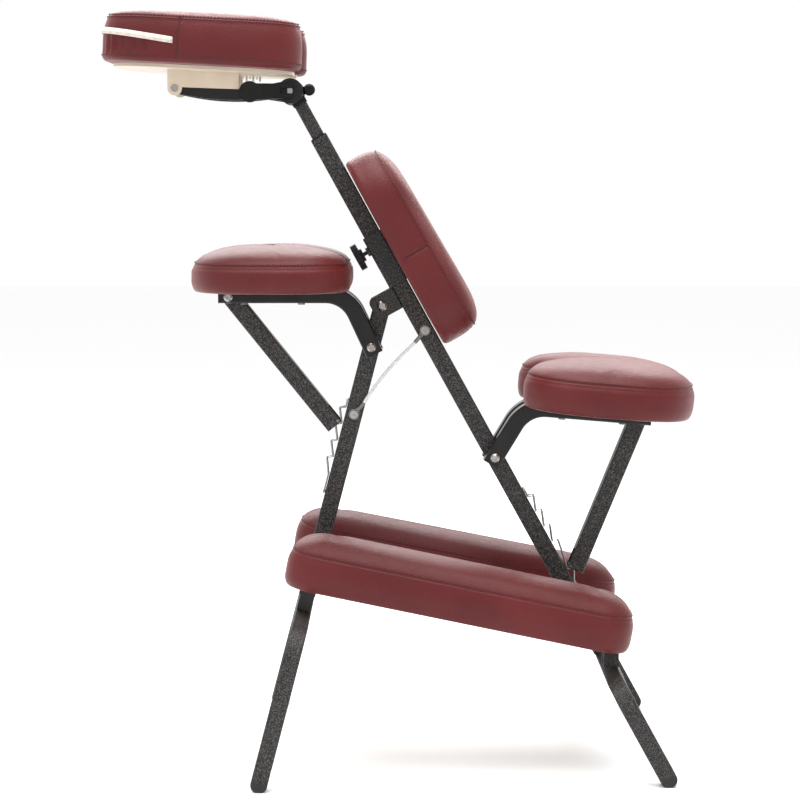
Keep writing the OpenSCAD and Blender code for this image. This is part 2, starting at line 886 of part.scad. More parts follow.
// Cast block on the head post: socket below, barrel across the top, lug for the cap behind
module hub_block() {
    color("#141414") difference() {
        union() {
            place(hub, 0) cross_pin(hub_r - 1, 2 * barrel_half);
            on_main_tube(hub_s) translate([0, 0, -hub_r - 4])
                linear_extrude(hub_r) solid_section(post_w + 3);
            translate([hub[0], 0, hub[1]]) rotate([90, 0, 0]) linear_extrude(12, center = true)
                polygon([[0, hub_r - 2], [22, 6], [22, -2], [0, -hub_r + 2]]);
            translate([hub[0] + 26.5, 0, hub[1] + 3]) cross_pin(7.5, 12);
        }
        place(hub, 0) cross_pin(bolt_r + pin_gap, 4 * barrel_half);
    }
}

module hub_cap() {
    color("#0f0f0f") translate([hub[0] + 26.5, -6, hub[1] + 3]) rotate([90, 0, 0]) {
        cylinder(r = 8.6, h = 5);
        translate([0, 0, 5]) cylinder(r1 = 8.6, r2 = 6.2, h = 2.5, $fn = 48);
    }
}

// Outline of a curved arm between the rivet and the hub
function arc_between(a, b, sag, n) = [
    for (i = [0:n])
        let (t = i / n, p = a + (b - a) * t) [p[0], p[1] - sag * 4 * t * (1 - t)]
];
function reversed(p) = [for (i = [len(p) - 1:-1:0]) p[i]];

// Two curved arms, one each side of the face opening, joined by a tube around the rivet
module cradle_arm() {
    neck = [hub[0] - hub_r - 10, hub[1] + 1];
    top = arc_between([rivet[0], rivet[1] + 5.5], neck + [0, 7], 5, 16);
    low = arc_between([rivet[0], rivet[1] - 6.5], neck - [0, 10], 7, 16);
    color("#1a1a1b") difference() {
        union() {
            place(rivet, 0) cross_pin(6.5, 2 * arm_outer);
            for (m = [-1, 1]) translate([0, m * (arm_outer + arm_inner) / 2, 0]) rotate([90, 0, 0])
                linear_extrude(arm_outer - arm_inner, center = true) {
                    polygon(concat(top, reversed(low)));
                    translate(hub) circle(hub_r);
                    polygon([
                        neck + [-14, 7], [hub[0], hub[1] + hub_r - 3],
                        [hub[0], hub[1] - hub_r + 3], neck - [14, 10]
                    ]);
                }
        }
        place(rivet, 0) cross_pin(3 + pin_gap, 4 * arm_outer);
        place(hub, 0) cross_pin(bolt_r, 4 * arm_outer);
    }
}

// Bolt through the hub: nut on the far side, eye for the cam lever on the near side
module hub_bolt() {
    color("#b9bcc0") difference() {
        union() {
            place(hub, 0) cross_pin(bolt_r, 2 * arm_outer + 1);
            translate([hub[0] - 3.5, -lever_near - 0.5, hub[1] - 3.5]) cube([7, lever_near - arm_outer, 7]);
            translate([hub[0], arm_outer, hub[1]]) rotate([-90, 0, 0]) cylinder(r = 7, h = 5, $fn = 6);
        }
        translate([hub[0], -cam_y, hub[1]]) cylinder(r = 2, h = 20, center = true);
    }
}

module cam_pin() {
    color("#b9bcc0") translate([hub[0], -cam_y, hub[1]]) cylinder(r = 2, h = 20, center = true);
}

// Lever lying along the arm: round thumb end, flat body, forked cam end over the bolt's eye
module cam_lever() {
    tip = [hub[0] - 58.5, hub[1] - 1.2];
    thick = lever_near - lever_far;
    color("#131313") difference() {
        union() {
            translate([0, -lever_far, 0]) rotate([90, 0, 0]) linear_extrude(thick) {
                translate(tip) circle(15.4);
                polygon([
                    [tip[0] - 1, tip[1] + 12.2], [hub[0], hub[1] + 10.4],
                    [hub[0], hub[1] - 10.4], [tip[0] - 1, tip[1] - 12.2]
                ]);
            }
            translate([hub[0], -cam_y, hub[1]]) cylinder(r = thick / 2, h = 20.8, center = true);
        }
        translate([hub[0] - 14, -lever_near - 1, hub[1] - 4.2]) cube([30, thick + 2, 8.4]);
        translate([hub[0], -cam_y, hub[1]]) cylinder(r = 2 + pin_gap, h = 60, center = true);
    }
}

// Horseshoe: rounded oblong with a face opening that runs out through the rear end
module horseshoe(l, w, grow) {
    difference() {
        rounded(l, w, face_corner);
        translate([face_hole_x, 0]) circle(46 - grow, $fn = 64);
        translate([face_hole_x, -face_slot + grow]) square([l, 2 * (face_slot - grow)]);
    }
}

module on_platform() {
    translate([platform_x, 0, platform_z]) rotate([0, platform_tilt, 0]) children();
}

// Moulded tray: horseshoe plate with a flange and ear on each side for the rivet, and short ribs
module face_platform() {
    flange = 4.6;
    flange_y = arm_outer + 0.4 + flange / 2;
    color("#e4dccb") difference() {
        union() {
            on_platform() {
                linear_extrude(plate_t) horseshoe(face_len - 26, face_w - 70, 4);
                for (m = [-1, 1], x = [57, 67, 77])
                    translate([x, m * (flange_y - 3), -3.6]) cube([2.5, 12, 8], center = true);
            }
            for (m = [-1, 1]) translate([0, m * flange_y, 0]) rotate([90, 0, 0])
                linear_extrude(flange, center = true) {
                    translate(rivet) circle(10.5);
                    polygon([
                        [rivet[0] - 10.5, rivet[1]], [rivet[0] - 10.5, platform_z + 4],
                        [hub[0] - 74.5, platform_z], [hub[0] - 74.5, rivet[1] - 1.5],
                        [rivet[0] + 8, rivet[1] + 1.5]
                    ]);
                }
        }
        place(rivet, 0) cross_pin(3, 4 * arm_outer);
        on_platform() translate([-200, -150, plate_t]) cube([400, 300, 20]);
    }
}

module platform_rivet() {
    color("#b9bcc0") place(rivet, 0) {
        cross_pin(3, 2 * arm_outer + 10);
        for (m = [-1, 1]) translate([0, m * (arm_outer + 6.1), 0]) cross_pin(5.4, 2.2);
    }
}

module face_cushion() {
    color("#8c3f45") on_platform() translate([0, 0, plate_t]) {
        linear_extrude(face_t - 14) horseshoe(face_len, face_w, 0);
        translate([0, 0, face_t - 14]) linear_extrude(14, scale = 0.93) horseshoe(face_len, face_w, 0);
    }
}

// ---------------------------------------------------------------- assembly

main_tube();
top_bush();
rear_leg_frame();
rear_foot_caps();
hinge_bracket();
hinge_bolt();
seat_rack();
seat_pivot_bolt();
cable_upper_bolt();
cable_upper_eyelet();
stay_cable();
knee_hinge_lugs();
knee_hinge_pin();
front_post();
front_leg_frame();
front_foot_caps();
arm_rack();
arm_pivot_bolt();
cable_lower_bolt();
cable_lower_eyelet();
knee_rail_left();
knee_rail_right();
knee_saddles();
knee_board_left();
knee_board_right();
knee_cushion_left();
knee_cushion_right();
knee_pad_screws();
seat_bar_left();
seat_bar_right();
seat_board();
seat_cushion();
seat_strut_bolt();
seat_pad_screws();
seat_strut();
seat_strut_pin();
arm_bar_left();
arm_bar_right();
arm_board();
arm_cushion();
arm_strut_bolt();
arm_pad_screws();
arm_strut();
arm_strut_pin();
chest_sleeve();
chest_plate();
chest_board();
chest_cushion();
clamp_knob();
head_post();
hub_block();
hub_cap();
cradle_arm();
hub_bolt();
cam_pin();
cam_lever();
face_platform();
platform_rivet();
face_cushion();
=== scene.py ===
"""Kneeling massage chair: upholstery, hardware, materials, light and camera over the CAD model."""

import json
import math

import bmesh
import bpy
import numpy as np
from mathutils import Matrix, Vector, noise


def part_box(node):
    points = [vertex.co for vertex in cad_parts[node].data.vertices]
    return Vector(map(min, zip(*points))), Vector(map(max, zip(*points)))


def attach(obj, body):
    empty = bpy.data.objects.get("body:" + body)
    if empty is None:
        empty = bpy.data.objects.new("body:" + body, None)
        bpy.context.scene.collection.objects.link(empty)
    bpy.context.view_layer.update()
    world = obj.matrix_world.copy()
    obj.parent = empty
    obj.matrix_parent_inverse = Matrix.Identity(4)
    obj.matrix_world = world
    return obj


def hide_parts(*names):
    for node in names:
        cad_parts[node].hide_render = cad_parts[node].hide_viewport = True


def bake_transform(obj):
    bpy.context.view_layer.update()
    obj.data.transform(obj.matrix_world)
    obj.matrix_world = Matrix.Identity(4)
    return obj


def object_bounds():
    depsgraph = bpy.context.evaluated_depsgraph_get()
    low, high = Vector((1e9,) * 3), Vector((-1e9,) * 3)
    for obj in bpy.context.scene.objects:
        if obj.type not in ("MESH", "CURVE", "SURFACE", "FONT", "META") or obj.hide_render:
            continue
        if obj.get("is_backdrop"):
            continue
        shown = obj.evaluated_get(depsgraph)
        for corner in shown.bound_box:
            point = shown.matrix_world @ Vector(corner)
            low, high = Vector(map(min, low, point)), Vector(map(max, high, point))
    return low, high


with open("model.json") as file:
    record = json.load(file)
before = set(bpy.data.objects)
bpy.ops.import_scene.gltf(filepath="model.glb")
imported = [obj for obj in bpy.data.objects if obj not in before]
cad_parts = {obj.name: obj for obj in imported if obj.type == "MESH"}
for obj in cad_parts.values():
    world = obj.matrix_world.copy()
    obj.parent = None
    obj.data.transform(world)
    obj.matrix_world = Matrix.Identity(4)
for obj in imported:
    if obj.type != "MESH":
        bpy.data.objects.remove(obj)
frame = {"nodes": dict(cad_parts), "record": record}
cad_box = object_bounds()
slot_of = {s["node"]: s["material_slot"] for s in frame["record"]["subparts"]}

MM = 0.001
NEAR, FAR = -1, 1

# Sizes in mm, unless a note says otherwise.
BOARD_RECESS = (10.6, 9.5)  # depth of the board's pocket under a pad, and the lip left round it
BAR_BAND, BAR_FADE = 42, 9  # half width of the band left open for the bars, and its soft edge
EDGE_ROLL = 11.0  # how fast a pad's crown rounds up from its seam
JOIN_WIDTH, JOIN_DEPTH = 1.3, 1.8  # crease beside a sewn join across a side panel
JOIN_RADIUS, JOIN_LIFT = 0.55, 1.0  # its thread, a dark line laid along the join that also paints the shade of its crease
FACE_HOLE_X = 14.0  # centre of the face cushion's opening from the cushion's own centre
HEART_POWER = 0.72  # 1 would make the heart-shaped pads plain ovals, 0 would make them square
FOAM_WAVES = ((0.011, 0.9), (0.034, 0.35))  # unevenness of the foam as (waves per mm, height)
PUCKER = 0.55  # gathers beside a seam
THREAD_PITCH, THREAD_LENGTH, THREAD_RADIUS, THREAD_LIFT = 5.0, 3.4, 0.62, 0.4
PLEAT_PITCH, PLEAT_DEPTH, PLEAT_HEIGHT, PLEAT_REACH = 15.0, 2.6, 22, 13.0
ZIP_END, ZIP_CLIMB, ZIP_CLIMB_LENGTH = 32.0, 11.0, 100.0  # height of the zip's end, and its slope
ZIP_HALF_WIDTH, ZIP_THICK, COIL_RADIUS, COIL_OUT = 4.6, 1.1, 0.7, 1.4
CABLE_RADIUS, STRAND_RADIUS, STRAND_OFFSET, CABLE_BOW = 2.5, 0.5, 0.95, 4.0
SWELL_CAP = 1.6  # most that the cloth simulation may move a point

SWELL_FRAMES = 9  # length of the cloth simulation
STRANDS, CABLE_TURNS = 6, 9


# ---------------------------------------------------------------- material helpers

class Shader:
    """One Principled material, with short calls for the nodes that feed it."""

    def __init__(self, name, colour, roughness, metallic=0.0, specular=0.5):
        self.mat = bpy.data.materials.new(name)
        self.mat.use_nodes = True
        self.tree = self.mat.node_tree
        self.bsdf = self.tree.nodes["Principled BSDF"]
        self.set("Base Color", (*colour, 1.0))
        self.set("Roughness", roughness)
        self.set("Metallic", metallic)
        self.set("Specular IOR Level", specular)
        self.place = self.node("ShaderNodeTexCoord").outputs["Object"]
        self.last_bump = None

    def set(self, socket, value):
        self.bsdf.inputs[socket].default_value = value

    def node(self, kind, **values):
        made = self.tree.nodes.new(kind)
        for key, value in values.items():
            if key in made.inputs:
                made.inputs[key].default_value = value
            else:
                setattr(made, key, value)
        return made

    def link(self, a, b):
        self.tree.links.new(a, b)

    def noise(self, scale, detail=3.0, rough=0.55, stretch=None):
        made = self.node("ShaderNodeTexNoise", Scale=scale, Detail=detail, Roughness=rough)
        self.link(self.stretched(stretch), made.inputs["Vector"])
        return made.outputs["Fac"]

    def cells(self, scale, feature="F1", stretch=None):
        made = self.node("ShaderNodeTexVoronoi", Scale=scale)
        made.feature = feature
        self.link(self.stretched(stretch), made.inputs["Vector"])
        return made.outputs["Distance"]

    def stretched(self, stretch):
        if stretch is None:
            return self.place
        made = self.node("ShaderNodeMapping", Scale=stretch)
        self.link(self.place, made.inputs["Vector"])
        return made.outputs["Vector"]

    def ramp(self, value, *stops):
        made = self.node("ShaderNodeValToRGB")
        band = made.color_ramp.elements
        while len(band) < len(stops):
            band.new(0.5)
        for element, (at, colour) in zip(band, stops):
            element.position = at
            element.color = (*colour, 1.0) if len(colour) == 3 else colour
        self.link(value, made.inputs["Fac"])
        return made.outputs["Color"]

    def mix(self, share, a, b):
        made = self.node("ShaderNodeMix")
        made.data_type = "RGBA"
        for socket, value in ((made.inputs[0], share), (made.inputs[6], a), (made.inputs[7], b)):
            if hasattr(value, "links"):
                self.link(value, socket)
            else:
                socket.default_value = value if isinstance(value, float) else (*value, 1.0)
        return made.outputs[2]

    def span(self, value, low, high):
        made = self.node("ShaderNodeMapRange")
        made.inputs["To Min"].default_value = low
        made.inputs["To Max"].default_value = high
        self.link(value, made.inputs["Value"])
        return made.outputs["Result"]

    def colour(self, value):
        self.link(value, self.bsdf.inputs["Base Color"])

    def roughness(self, value, low, high):
        self.link(self.span(value, low, high), self.bsdf.inputs["Roughness"])

    def bump(self, height, strength, distance):
        made = self.node("ShaderNodeBump", Strength=strength, Distance=distance)
        self.link(height, made.inputs["Height"])
        if self.last_bump is not None:
            self.link(self.last_bump, made.inputs["Normal"])
        self.last_bump = made.outputs["Normal"]
        self.link(self.last_bump, self.bsdf.inputs["Normal"])


def grey(v):
    return (v, v, v)


def leather(name, base, dark, light):
    """Artificial leather: pebbled grain, fine pores, soft cloudiness and worn sheen."""
    s = Shader(name, base, 0.42, specular=0.28)
    cloud = s.noise(9.0, 3.0)
    mottle = s.noise(260.0, 2.0)
    tone = s.ramp(cloud, (0.3, dark), (0.72, light))
    s.colour(s.mix(s.span(mottle, 0.0, 0.35), tone, base))
    s.roughness(s.noise(90.0, 4.0), 0.36, 0.52)
    s.set("Sheen Weight", 0.19)
    s.set("Sheen Roughness", 0.35)
    s.set("Sheen Tint", (1.0, 0.5, 0.46, 1.0))
    s.bump(s.cells(560.0), 0.42, 0.0008)
    s.bump(s.noise(1500.0, 2.0), 0.12, 0.0003)
    s.bump(s.noise(34.0, 3.0), 0.10, 0.002)
    return s.mat


def powder_coat():
    """Charcoal hammered powder coat: dark body with pale metallic flecks in a rough skin."""
    s = Shader("powder_coat", grey(0.02), 0.45, specular=0.3)
    flecks = s.noise(820.0, 1.5, 0.6)
    body = s.ramp(s.noise(60.0, 3.0), (0.3, (0.003, 0.0025, 0.0025)), (0.7, (0.007, 0.006, 0.006)))
    share = s.ramp(flecks, (0.51, grey(0.0)), (0.59, grey(1.0)))
    s.colour(s.mix(share, body, (0.085, 0.078, 0.075)))
    s.roughness(flecks, 0.55, 0.34)
    s.bump(s.cells(420.0), 0.45, 0.0006)
    s.bump(flecks, 0.3, 0.0004)
    return s.mat


def satin_black():
    """Smooth black paint with a thin gloss coat."""
    s = Shader("satin_black", grey(0.012), 0.3, specular=0.22)
    s.colour(s.ramp(s.noise(45.0), (0.3, (0.0045, 0.004, 0.004)), (0.75, (0.010, 0.0085, 0.0085))))
    s.roughness(s.noise(140.0, 4.0), 0.24, 0.42)
    s.bump(s.noise(700.0, 3.0), 0.12, 0.0003)
    s.set("Coat Weight", 0.12)
    s.set("Coat Roughness", 0.2)
    return s.mat


def plywood():
    """Pale plywood, grain drawn out along the board."""
    s = Shader("plywood", (0.42, 0.28, 0.16), 0.62)
    grain = s.noise(26.0, 6.0, 0.6, stretch=(1.0, 9.0, 9.0))
    low, mid, high = (0.30, 0.18, 0.09), (0.46, 0.31, 0.17), (0.55, 0.40, 0.24)
    s.colour(s.ramp(grain, (0.3, low), (0.55, mid), (0.8, high)))
    s.roughness(grain, 0.55, 0.75)
    s.bump(grain, 0.25, 0.0006)
    s.bump(s.noise(420.0, 2.0, stretch=(0.3, 4.0, 4.0)), 0.15, 0.0003)
    return s.mat


def steel(name, tone, low, high, streak):
    """Plated steel with fine tool marks and a few dull patches."""
    s = Shader(name, tone, low, metallic=1.0)
    s.colour(s.ramp(s.noise(70.0, 3.0), (0.25, tuple(0.78 * c for c in tone)), (0.7, tone)))
    s.roughness(s.noise(260.0, 4.0, stretch=streak), low, high)
    s.bump(s.noise(900.0, 2.0, stretch=streak), 0.12, 0.0002)
    return s.mat


def plastic(name, dark, light, low, high, grain, spec):
    """Moulded plastic or rubber: cloudy tone, uneven gloss, fine grain."""
    s = Shader(name, light, low, specular=spec)
    s.colour(s.ramp(s.noise(30.0, 3.0), (0.3, dark), (0.7, light)))
    s.roughness(s.noise(120.0, 4.0), low, high)
    s.bump(s.noise(grain, 3.0), 0.16, 0.0003)
    return s.mat


def clear_jacket():
    """Milky clear plastic over the cable."""
    s = Shader("clear_jacket", (0.86, 0.87, 0.88), 0.18)
    s.set("Transmission Weight", 0.35)
    s.set("IOR", 1.46)
    s.roughness(s.noise(80.0, 3.0), 0.12, 0.3)
    s.bump(s.noise(160.0, 2.0), 0.15, 0.0003)
    return s.mat


def woven_tape():
    """Pale zip tape: fine ribs across a slightly soiled weave."""
    s = Shader("woven_tape", (0.66, 0.60, 0.54), 0.8)
    s.colour(s.ramp(s.noise(160.0, 4.0), (0.3, (0.56, 0.47, 0.41)), (0.7, (0.74, 0.68, 0.62))))
    s.roughness(s.noise(300.0), 0.7, 0.9)
    s.bump(s.noise(900.0, 2.0, stretch=(0.4, 0.4, 3.0)), 0.5, 0.0005)
    return s.mat


def sewing_thread():
    """Dark red thread with the twist of its fibres."""
    s = Shader("thread", (0.05, 0.010, 0.012), 0.6)
    s.colour(s.ramp(s.noise(800.0), (0.3, (0.032, 0.006, 0.008)), (0.7, (0.075, 0.016, 0.018))))
    s.bump(s.noise(2500.0), 0.3, 0.0002)
    return s.mat


def make_materials():
    red, dark_red, pale_red = (0.092, 0.007, 0.008), (0.078, 0.005, 0.006), (0.110, 0.010, 0.011)
    even, ringed = (1.0, 1.0, 1.0), (1.0, 4.0, 1.0)
    made = {
        "powder_coat": powder_coat(),
        "satin_black": satin_black(),
        "upholstery": leather("upholstery", red, dark_red, pale_red),
        "plywood": plywood(),
        "clear_jacket": clear_jacket(),
        "woven_tape": woven_tape(),
        "thread": sewing_thread(),
    }
    for name, tone, low, high, streak in (
        ("zinc", (0.20, 0.20, 0.20), 0.3, 0.5, even),
        ("bright_bolt", (0.38, 0.36, 0.35), 0.2, 0.36, ringed),
        ("rack_wire", (0.33, 0.33, 0.33), 0.34, 0.55, even),
        ("cable", (0.66, 0.67, 0.69), 0.2, 0.36, even),
    ):
        made[name] = steel(name, tone, low, high, streak)
    for name, dark, light, low, high, grain, spec in (
        ("black_plastic", (0.005, 0.005, 0.005), (0.010, 0.0095, 0.0095), 0.34, 0.5, 900.0, 0.2),
        ("cream_plastic", (0.57, 0.48, 0.38), (0.63, 0.545, 0.44), 0.28, 0.42, 500.0, 0.4),
        ("rubber", (0.012, 0.012, 0.012), (0.024, 0.023, 0.023), 0.6, 0.8, 380.0, 0.4),
        ("zip_coil", (0.62, 0.55, 0.48), (0.74, 0.68, 0.61), 0.4, 0.55, 1500.0, 0.4),
    ):
        made[name] = plastic(name, dark, light, low, high, grain, spec)
    return made


# ---------------------------------------------------------------- mesh helpers

def new_piece(name, verts, faces, material):
    """Smooth-shaded mesh object with its doubled points merged and its normals outward."""
    mesh = bpy.data.meshes.new(name)
    mesh.from_pydata([tuple(v) for v in verts], [], faces)
    bm = bmesh.new()
    bm.from_mesh(mesh)
    bmesh.ops.remove_doubles(bm, verts=bm.verts, dist=1e-6)
    bmesh.ops.dissolve_degenerate(bm, edges=bm.edges, dist=1e-7)
    bmesh.ops.recalc_face_normals(bm, faces=bm.faces)
    bm.to_mesh(mesh)
    bm.free()
    mesh.materials.append(material)
    mesh.polygons.foreach_set("use_smooth", [True] * len(mesh.polygons))
    obj = bpy.data.objects.new(name, mesh)
    bpy.context.scene.collection.objects.link(obj)
    return obj


def local_frame(origin_mm, pitch, yaw=0.0):
    """Place of a pad: pitch about the side-to-side axis, after yaw about its own upright axis."""
    turn = Matrix.Rotation(math.radians(pitch), 4, "Y") @ Matrix.Rotation(math.radians(yaw), 4, "Z")
    return Matrix.Translation(Vector(origin_mm) * MM) @ turn


def apply_frame(points_mm, place):
    """Rows of local points in mm to world points in metres."""
    m = np.array(place)
    return points_mm * MM @ m[:3, :3].T + m[:3, 3]


def smooth_step(x):
    x = np.clip(x, 0.0, 1.0)
    return x * x * (3 - 2 * x)


def wave(points, scale, seed):
    """Smooth noise from -1 to 1 at rows of points."""
    shift = Vector((seed * 7.13, seed * 3.71, seed * 1.37))
    flat = points.reshape(-1, 3)
    made = np.array([noise.noise(Vector(p) * scale + shift) for p in flat])
    return made.reshape(points.shape[:-1])


# ---------------------------------------------------------------- pad outlines

def rounded_outline(length, width, radius, extra=()):
    """Half outline of a rounded oblong from +X round to -X with y >= 0, then mirrored."""
    a, b = length / 2, width / 2
    half = [(a, 0.0)]
    half += [(a, b_ * (b - radius)) for b_ in np.linspace(0.25, 0.75, 3)]
    half += [
        (a - radius + radius * math.cos(t), b - radius + radius * math.sin(t))
        for t in np.linspace(0, math.pi / 2, 15)
    ]
    span = a - radius
    steps = max(4, round(2 * span / 7))
    xs = sorted(set(np.linspace(span, -span, steps + 1)[1:-1]) | set(extra), reverse=True)
    half += [(x, b) for x in xs]
    half += [
        (-a + radius - radius * math.sin(t), b - radius + radius * math.cos(t))
        for t in np.linspace(0, math.pi / 2, 15)
    ]
    half += [(-a, b_ * (b - radius)) for b_ in np.linspace(0.75, 0.25, 3)]
    half.append((-a, 0.0))
    loop = half + [(x, -y) for x, y in half[-2:0:-1]]
    reach = max(a - b, 1.0)
    outline = np.array(loop)
    spine = np.stack([np.clip(outline[:, 0], -reach, reach), np.zeros(len(loop))], 1)
    return outline, spine


def heart_outline(length, width, notch, count=220):
    """Squarish oval drawn in at its -X end; every ring closes in on one point."""
    t = np.radians(np.linspace(0, 180, 1441))
    c, s = np.cos(t), np.sin(t)
    y = width / 2 * np.abs(s) ** HEART_POWER
    bite = np.where(c < 0, notch * np.exp(-((y / (width * 0.13)) ** 2)), 0.0)
    x = length / 2 * np.sign(c) * np.abs(c) ** HEART_POWER + bite
    half = np.stack([x, y], 1)
    half[0, 1] = half[-1, 1] = 0.0
    run = np.concatenate([[0], np.cumsum(np.linalg.norm(np.diff(half, axis=0), axis=1))])
    at = np.linspace(0, run[-1], count // 2 + 1)
    half = np.stack([np.interp(at, run, half[:, i]) for i in (0, 1)], 1)
    outline = np.concatenate([half, half[-2:0:-1] * [1, -1]])
    return outline, np.tile([0.04 * length, 0.0], (len(outline), 1))


def horseshoe_outline(length, width, radius, hole_r, slot):
    """Outline of the face cushion with rounded rear ends; spine midway between the two walls."""
    a, b = length / 2, width / 2
    hole = np.array([FACE_HOLE_X, 0.0])

    def outer(angle):
        d = np.array([math.cos(angle), math.sin(angle)])
        low, high = 0.0, 400.0
        for _ in range(40):
            mid = (low + high) / 2
            p = np.abs(hole + mid * d)
            q = np.maximum(p - [a - radius, b - radius], 0)
            inside = p[0] < a and p[1] < b and np.linalg.norm(q) < radius
            low, high = (mid, high) if inside else (low, mid)
        return hole + low * d

    def inner(angle):
        reach = hole_r
        if math.cos(angle) > 0:
            reach = max(hole_r, (slot + 0.5) / max(abs(math.sin(angle)), 1e-3))
        return np.array([FACE_HOLE_X + reach * math.cos(angle), reach * math.sin(angle)])

    first = math.radians(31)
    angles = np.linspace(first, 2 * math.pi - first, 261)
    out = [outer(t) for t in angles]
    inn = [inner(t) for t in angles]
    mid = [(o + i) / 2 for o, i in zip(out, inn)]

    def cap(start, end, side):
        """Round the rear end from the outer wall to the slot's wall."""
        corner = np.array([a - 0.5, side * (slot + 0.5)])
        return [
            (1 - t) ** 2 * start + 2 * t * (1 - t) * corner + t * t * end
            for t in np.linspace(0, 1, 14)[1:-1]
        ]

    cap_low = cap(out[-1], inn[-1], -1)
    cap_high = cap(inn[0], out[0], 1)
    outline = np.array(out + cap_low + inn[::-1] + cap_high)
    spine = np.array(mid + [mid[-1]] * len(cap_low) + mid[::-1] + [mid[0]] * len(cap_high))
    return outline, spine


# ---------------------------------------------------------------- cushions

# Seam groove as (height from the seam, depth) in mm, from the wall into the seam.
GROOVE = ((-4.0, 0.0), (-2.0, 0.2), (-1.1, 0.7), (-0.5, 1.6), (0.0, 2.1))


class Pad:
    """Closed cushion: rows of rings from the underside, up the wall, over the seam and crown."""

    def __init__(self, name, node, body, place, outline, side, crown, recess=None, drop=0.0, **look):
        self.name, self.node, self.body, self.place = name, node, body, place
        self.outline, self.spine = outline
        self.side, self.crown, self.recess = side, crown, recess
        self.seam_in = look.get("seam_in", 3.4)
        self.foot = look.get("foot", (8.4, 15.0))
        self.lean = look.get("lean", 0.0)
        self.edge = look.get("edge", 12.0)
        self.shoulder = look.get("shoulder", 60.0)
        self.skirt = look.get("skirt", 0.0)
        self.bars = look.get("bars", False)
        self.base = drop
        self.seed = look.get("seed", 1)
        self.joins = look.get("joins", ())
        self.folds = look.get("folds")
        d = self.spine - self.outline
        self.reach = np.maximum(np.linalg.norm(d, axis=1), 1e-6)
        self.inward = d / self.reach[:, None]
        step = np.linalg.norm(np.roll(self.outline, -1, axis=0) - self.outline, axis=1)
        self.run = np.concatenate([[0], np.cumsum(step)[:-1]])
        self.girth = step.sum()

    def profile(self):
        """Rows as (inset in mm, share of the way to the spine, height in mm, share of the drop)."""
        foot_in, foot_up = self.foot
        rows = []
        if self.recess:
            depth, wall = self.recess
            rows += [(0, 1.0, depth, 0), (0, 0.5, depth, 0), (wall, 0, depth, 0)]
            rows += [(wall - 0.3, 0, depth - 1, 0), (wall - 0.3, 0, 1, 0.9)]
        else:
            rows += [(0, t, self.base, 0) for t in (1.0, 0.75, 0.5, 0.25)]
        rows += [
            (foot_in * (1 - math.sin(t)), 0, self.base + foot_up * (1 - math.cos(t)), math.cos(t))
            for t in np.linspace(0, math.pi / 2, 9)
        ]
        low, high = self.base + foot_up, self.side + GROOVE[0][0]
        for t in np.linspace(0, 1, 13)[1:]:
            rows.append((self.seam_in * t ** 4, 0, low + (high - low) * t, 0))
        rows += [(self.seam_in + dip, 0, self.side + dz, 0) for dz, dip in GROOVE[1:]]
        self.seam_row = len(rows) - 1
        return rows

    def crown_rows(self):
        """Rows past the seam as (inset, extra inset in the groove): dense there, then even."""
        edge = [(-dz * 1.1, dip) for dz, dip in GROOVE[-2:0:-1]]
        return edge + [(d, 0.0) for d in np.linspace(6.0, 0.55 * float(self.reach.min()), 12)]

    def rise(self, distance):
        """Height over the seam: a quick round at the edge, then a slow dome."""
        reach = np.clip(distance / self.shoulder, 0, 1)
        dome = (self.crown - self.edge) * (1 - (1 - reach) ** 2)
        return dome + self.edge * (1 - np.exp(-np.maximum(distance, 0) / EDGE_ROLL))

    def rings(self):
        """Every ring of the pad in local mm, from the underside's middle to the crown's middle."""
        made = []
        for inset, share, height, drop in self.profile():
            inset = np.minimum(inset, 0.9 * self.reach)
            reach = inset + share * (self.reach - inset)
            flat = self.outline + self.inward * reach[:, None]
            made.append(np.column_stack([flat, height - self.hang() * drop]))
        first = self.seam_in
        for distance, dip in self.crown_rows():
            at = np.minimum(first + dip + distance, 0.9 * self.reach)
            made.append(self.crown_ring(at, np.full(len(at), distance)))
        last = at
        for t in np.linspace(0, 1, 9)[1:]:
            at = last + (self.reach - last) * t
            made.append(self.crown_ring(at, at - first))
        made = np.array(made)
        made[..., 2] *= 1 + self.lean * made[..., 0] / np.abs(self.outline[:, 0]).max()
        return made

    def crown_ring(self, inset, distance):
        flat = self.outline + self.inward * inset[:, None]
        return np.column_stack([flat, self.side + self.rise(distance)])

    def hang(self):
        """How far the skirt hangs at each outline point, none where the bars pass."""
        if not self.bars:
            return np.full(len(self.outline), self.skirt)
        return self.skirt * smooth_step((np.abs(self.outline[:, 1]) - BAR_BAND) / BAR_FADE)

    def relax(self, rings):
        """Foam's slight unevenness, gathers beside the seam, side panel joins and loose folds."""
        heights = rings[:, :, 2]
        wall = smooth_step((heights - self.base - 6) / 8)
        wall[:6] = 0
        (long_scale, long_height), (short_scale, short_height) = FOAM_WAVES
        soft = wave(rings, long_scale, self.seed) * long_height
        soft += wave(rings, short_scale, self.seed + 5) * short_height
        near_seam = np.exp(-(((heights - self.side) / 6.0) ** 2)) * wall
        angle = self.run / self.girth * 2 * math.pi
        turn = np.column_stack([np.cos(angle), np.sin(angle)])
        line = np.column_stack([turn * self.girth * 0.09, np.zeros(len(turn))])
        pucker = wave(line, 1.0, self.seed + 9)
        push = (soft - 0.4) * wall + near_seam * pucker[None, :] * PUCKER
        for at_x, at_side in self.joins:
            on_side = np.sign(self.outline[:, 1]) == at_side
            dip = np.exp(-(((self.outline[:, 0] - at_x) / JOIN_WIDTH) ** 2)) * on_side
            push -= dip[None, :] * wall * (heights < self.side + 0.5) * JOIN_DEPTH
        if self.folds:
            push += self.folds(self, rings) * wall
        rings[:, :, :2] -= self.inward[None] * push[:, :, None]
        return rings

